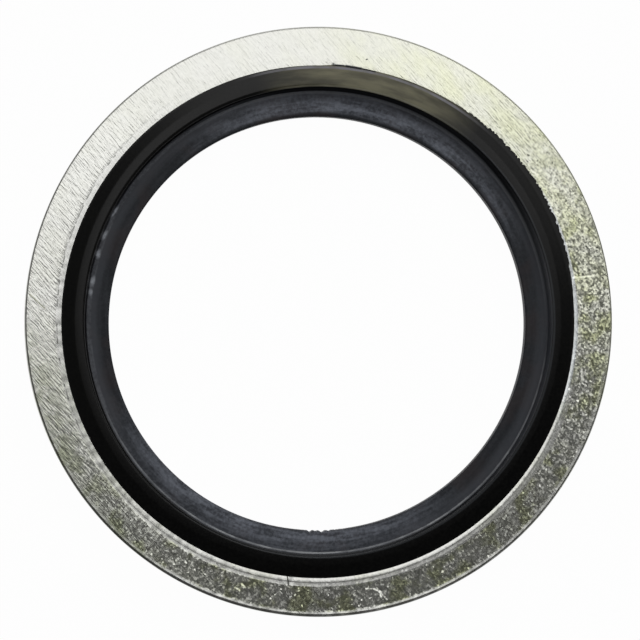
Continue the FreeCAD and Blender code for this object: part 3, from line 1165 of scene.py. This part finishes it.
nitrile = bpy.data.materials.new("moulded_black_nitrile")
nitrile.use_nodes = True
black = nitrile.node_tree
black.nodes.clear()
black_place = add_node(black, "ShaderNodeTexCoord").outputs["Object"]
black_distance = ring_distance(black, black_place)
black_round = round_place(black, black_place, black_distance)


def rubber_side(turn, start, end):
    """The share of one side of the rubber ring."""
    return side(black, black_place, black_distance, turn, start, end)


def lying(start, end):
    """The share that goes from 0 to 1 as the upward part of the rubber's direction goes from
    start to end. It is 1 on what lies flat."""
    facing = add_node(black, "ShaderNodeNewGeometry").outputs["Normal"]
    upwards = add_node(black, "ShaderNodeSeparateXYZ", inputs={0: facing}).outputs["Z"]
    return add_node(black, RANGE, SOFTLY, {0: upwards, 1: start, 2: end}).outputs[0]


bead_zone = band(black, black_distance, WALL_FOOT_RADIUS + 0.04, OUTSIDE, 0.08)
streaks = speckle(black, black_round, (3.0, 3.0, 0.30), 3.0, 0.36, 0.68)
broad_streaks = speckle(black, black_round, (2.5, 2.5, 0.5), 4.0, 0.25, 0.75)
pores = speckle(black, black_place, (0.20, 0.20, 0.20), 3.0, 0.38, 0.66)
pore_part = add_node(black, MATH, TIMES, {0: pores, 1: 0.40}).outputs[0]
chalk = add_node(black, MATH, TIMES_PLUS, {0: streaks, 1: 0.60, 2: pore_part}).outputs[0]
print("bead starts at", round(WALL_FOOT_RADIUS, 2))

# %% [markdown]
# Bloom and painted light on the lip
#
# Wax and sulphur creep out of rubber as it ages and lie on it as a pale bloom. It wears off
# where the lip is touched, so it is in streaks, fades towards the root and is missing from the
# lip's very edge. Older rubber also browns in patches. Between the middle of the lip and its
# root the surface is painted paler, all the way round but for the bottom: painted light against
# the shade that the bead's wall throws there.

# %% Rubber bloom
BLOOM_TURN = math.radians(15)  # it is strongest there and on the opposite side
ROOT_LIGHT_LESS_TURN = math.radians(195)
NEAR_ROOT_FROM = LIP_RADIUS + 0.6
NEAR_ROOT_TO = WALL_FOOT_RADIUS - 0.4

bloom_sides = [rubber_side(turn, 0.5, 1.0) for turn in (BLOOM_TURN, BLOOM_TURN + math.pi)]
bloom_zone = add_node(black, MATH, GREATEST, {0: bloom_sides[0], 1: bloom_sides[1]}).outputs[0]
near_root = band(black, black_distance, NEAR_ROOT_TO, OUTSIDE, NEAR_ROOT_TO - NEAR_ROOT_FROM)
off_tip = band(black, black_distance, LIP_RADIUS + 0.27, OUTSIDE, 0.35)
fading = add_node(black, MATH, TIMES_PLUS, {0: near_root, 1: -0.5, 2: 1.0}).outputs[0]
bloom = add_node(black, MATH, TIMES_PLUS, {0: chalk, 1: 0.85, 2: 0.22}).outputs[0]
lip_colour = layer(black, colour("#23262B"), colour("#373A3F"), chalk)
brown = speckle(black, black_place, (2.4, 2.4, 2.4), 2.0, 0.45, 0.65)
lip_colour = layer(black, lip_colour, colour("#3F3738"), brown, 0.45)
root_light_less_side = rubber_side(ROOT_LIGHT_LESS_TURN, 0.5, 0.95)
painted_paler = add_node(black, MATH, TIMES_PLUS, {0: root_light_less_side, 1: -0.5, 2: 0.5}).outputs[0]
# painted light: the lip is paler towards the root, against the wall's shade, but for the bottom
lip_colour = layer(black, lip_colour, colour("#5F6269"), near_root, painted_paler)
lip_colour = layer(black, lip_colour, colour("#8B909B"), bloom_zone, bloom, off_tip, fading)
print("the rubbed part of the lip:", round(NEAR_ROOT_FROM, 2), "to", round(NEAR_ROOT_TO, 2))

# %% [markdown]
# Film and painted reflection on the bead
#
# Mould release dried on the top of the bead as a dull film, thickest a little clockwise of the
# picture's top, and its khaki colour there is a painted reflection of the lamp. A painted
# highlight makes it palest on the crest's inner edge. Only what lies flat holds it. A fainter
# haze reaches further round. The bead below is nearly black.

# %% Rubber film
FILM_AND_SHEEN_TURN = math.radians(12)
HAZE_TURN = math.radians(-20)

# film and painted reflection: the khaki stands for the lamp's reflection on the bead's top, and the film
# also dulls it
film_and_sheen = add_node(black, MATH, TIMES_PLUS, {0: broad_streaks, 1: 0.65, 2: 0.4}).outputs[0]
for share in (rubber_side(FILM_AND_SHEEN_TURN, 0.88, 1.0), lying(0.4, 0.9)):
    film_and_sheen = add_node(black, MATH, TIMES, {0: film_and_sheen, 1: share}).outputs[0]
on_edge = band(black, black_distance, wall_top_radius, wall_top_radius + 0.10, 0.04)
bead_colour = layer(black, colour("#020202"), colour("#0D0D0C"), pores)
bead_colour = layer(black, bead_colour, colour("#191918"), rubber_side(HAZE_TURN, -0.8, 0.4), 0.4)
bead_colour = layer(black, bead_colour, colour("#86836C"), film_and_sheen)
# painted highlight: the crest's inner edge is palest at the top
bead_colour = layer(black, bead_colour, colour("#B0AD98"), on_edge, film_and_sheen, 0.7)
print("film towards, deg:", round(math.degrees(FILM_AND_SHEEN_TURN)))

# %% [markdown]
# Skin, sheen and shadow
#
# At the top the flank's foot thins to a pale skin that lets the steel show through, broken along
# its length, and its paleness is partly a painted reflection of the lamp in the flank's foot. The
# scraps of torn rubber and the painted shadow along the flash's edge reach over the edge, so they
# are drawn on the rubber as well as on the steel, from the same list. Lip and bead then become
# one colour.

# %% Rubber skin
SKIN_AND_SHEEN_TURN = math.radians(12)

skin_and_sheen = band(black, black_distance, BOND_RADIUS - 0.22, BOND_RADIUS - 0.10, 0.06)
skin_gaps = speckle(black, black_round, (1.6, 1.6, 1.0), 2.0, 0.35, 0.60)
skin_left = add_node(black, MATH, TIMES_PLUS, {0: skin_gaps, 1: 0.6, 2: 0.4}).outputs[0]
skin_and_sheen_side = rubber_side(SKIN_AND_SHEEN_TURN, 0.84, 0.98)
# skin and painted reflection: the pale band at the foot of the flank, at the top
bead_colour = layer(black, bead_colour, colour("#95949A"), skin_and_sheen, skin_and_sheen_side, skin_left)
# the same scraps and painted shadow, where they reach over the rubber
scraps_and_shadow_on_rubber = together(black, [stroke(black, black_place, *scrap) for scrap in SCRAPS_AND_EDGE_SHADOW])
bead_colour = layer(black, bead_colour, colour("#14161C"), scraps_and_shadow_on_rubber)
black_colour = layer(black, lip_colour, bead_colour, bead_zone)
print("skin towards, deg:", round(math.degrees(SKIN_AND_SHEEN_TURN)))

# %% [markdown]
# Dust and painted light in the root
#
# Pale dust gathers in the root, where the lip meets the bead's wall. At the bottom it is a thin
# line in clumps, which is also a painted highlight on the root's fillet. On the left a finger has
# wiped it into a band. At the upper right the root is painted paler, a painted light against the
# shade of the bead's wall. On the right the crest's inner edge is painted paler, a painted
# highlight.

# %% Rubber dust and painted light
DUST_AND_HIGHLIGHT_TURN = math.radians(175)
WIPED_TURN = math.radians(285)
ROOT_LIGHT_TURN = math.radians(25)
CREST_HIGHLIGHT_TURN = math.radians(105)

in_root = band(black, black_distance, WALL_FOOT_RADIUS - 0.15, WALL_FOOT_RADIUS - 0.09, 0.05)
by_root = band(black, black_distance, WALL_FOOT_RADIUS - 0.26, WALL_FOOT_RADIUS - 0.06, 0.12)
clumps = speckle(black, black_round, (1.2, 1.2, 1.0), 1.0, 0.35, 0.65)
clumped = add_node(black, MATH, TIMES_PLUS, {0: clumps, 1: 0.6, 2: 0.4}).outputs[0]
dust_and_highlight_side = rubber_side(DUST_AND_HIGHLIGHT_TURN, 0.0, 1.0)
wiped_side = rubber_side(WIPED_TURN, 0.2, 1.0)
root_light_side = rubber_side(ROOT_LIGHT_TURN, 0.3, 0.9)
crest_highlight_side = rubber_side(CREST_HIGHLIGHT_TURN, -0.6, 0.4)
# dust and painted highlight: a thin pale line in clumps on the root's fillet at the bottom
black_colour = layer(black, black_colour, colour("#BFC2C5"), in_root, dust_and_highlight_side, clumped)
black_colour = layer(black, black_colour, colour("#7F8288"), by_root, wiped_side, chalk, 0.6)
# painted light: the lip beside the root is paler at the upper right, against the wall's shade
black_colour = layer(black, black_colour, colour("#9B9EA3"), by_root, root_light_side, 0.5)
# painted highlight: the crest's inner edge is paler on the right
black_colour = layer(black, black_colour, colour("#5C6065"), on_edge, crest_highlight_side, 0.3)
print("dust lies at", round(WALL_FOOT_RADIUS - 0.15, 2), "to", round(WALL_FOOT_RADIUS - 0.09, 2))

# %% [markdown]
# Smudges
#
# Five pale smudges on the left are where a dusty fingertip touched the lip beside its root. Each
# is a soft oval spot, placed one by one like the scratches, and broken up by the pores.

# %% Rubber smudges
SMUDGES = (  # pixel, half sizes in mm and turn in radians
    ((116.3, 212.4), 0.16, 0.75, -0.60),
    ((106.7, 235.6), 0.20, 0.55, -0.46),
    ((100.5, 254.3), 0.24, 0.48, -0.20),
    ((94.9, 281.6), 0.24, 0.55, -0.22),
    ((93.0, 292.3), 0.19, 0.38, -0.10),
)


def spot(tree, place, pixel, across, up, turn):
    """The share of a soft spot about a pixel, whose half sizes are given in mm."""
    x, y = on_washer(pixel)
    moved = add_node(
        tree,
        MAPPING,
        IN_PLACE,
        {
            "Vector": place,
            "Location": (x * MM, y * MM, 0),
            "Rotation": (0, 0, turn),
            "Scale": (across * MM, up * MM, 1.0),
        },
    )
    away = add_node(tree, VECTOR_MATH, LENGTH, {0: moved.outputs["Vector"]}).outputs["Value"]
    return add_node(tree, RANGE, SOFTLY, {0: away, 1: 1.0, 2: 0.2}).outputs[0]


smudged = together(black, [spot(black, black_place, *smudge) for smudge in SMUDGES])
smudge_grain = add_node(black, MATH, TIMES_PLUS, {0: pores, 1: 0.4, 2: 0.6}).outputs[0]
black_colour = layer(black, black_colour, colour("#BEC3CB"), smudged, smudge_grain)
print("smudges:", len(SMUDGES))

# %% [markdown]
# The rubber's surface
#
# Rubber is no metal, so its gloss is a clear reflection over its colour. The bead is smoother
# than the lip, and the film dulls it. Towards the top the bead's wall and the root below it lie
# in the bead's shade, so a black with no gloss at all is mixed in there as painted shade.
# Roughness alone could not do that, because even rough rubber has a sheen.

# %% Rubber surface
LIP_ROUGHNESS = 0.52
BEAD_SMOOTHER = 0.24
FILM_ROUGHER = 0.20
SHADE_TURN = math.radians(22)
SHADE_SHARE = 0.9

black_rough = LIP_ROUGHNESS
for zone, rougher in ((bead_zone, -BEAD_SMOOTHER), (film_and_sheen, FILM_ROUGHER)):
    black_rough = add_node(black, MATH, TIMES_PLUS, {0: zone, 1: rougher, 2: black_rough}).outputs[0]
rubber_surface = add_node(
    black,
    "ShaderNodeBsdfPrincipled",
    inputs={"Base Color": black_colour, "Roughness": black_rough, "Specular IOR Level": 0.22},
)
# painted shade: a black with no gloss on the bead's wall and its root towards the top
shade_black = add_node(black, "ShaderNodeBsdfDiffuse", inputs={"Color": colour("#060607")})
shaded_wall = bead_zone
for share in (lying(0.45, 0.25), rubber_side(SHADE_TURN, -0.3, 0.5)):
    shaded_wall = add_node(black, MATH, TIMES, {0: shaded_wall, 1: share}).outputs[0]
root_band = band(black, black_distance, WALL_FOOT_RADIUS - 0.09, WALL_FOOT_RADIUS + 0.04, 0.06)
shaded_root_side = rubber_side(SHADE_TURN, 0.45, 0.9)
shaded_root = add_node(black, MATH, TIMES, {0: root_band, 1: shaded_root_side}).outputs[0]
painted_shade = add_node(black, MATH, GREATEST, {0: shaded_wall, 1: shaded_root}).outputs[0]
painted_shade = add_node(black, MATH, TIMES, {0: painted_shade, 1: SHADE_SHARE}).outputs[0]
rubber_surface = add_node(
    black, "ShaderNodeMixShader", inputs={0: painted_shade, 1: rubber_surface.outputs[0], 2: shade_black.outputs[0]}
)
add_node(black, "ShaderNodeOutputMaterial", inputs={"Surface": rubber_surface.outputs[0]})
rubber.data.materials.clear()
rubber.data.materials.append(nitrile)
print("rubber nodes:", len(black.nodes))

# %% [markdown]
# The finished washer
#
# The picture is shown without any change of tone, so that a colour renders about as it is
# written.

# %% Finish
bpy.context.scene.view_settings.view_transform = "Standard"
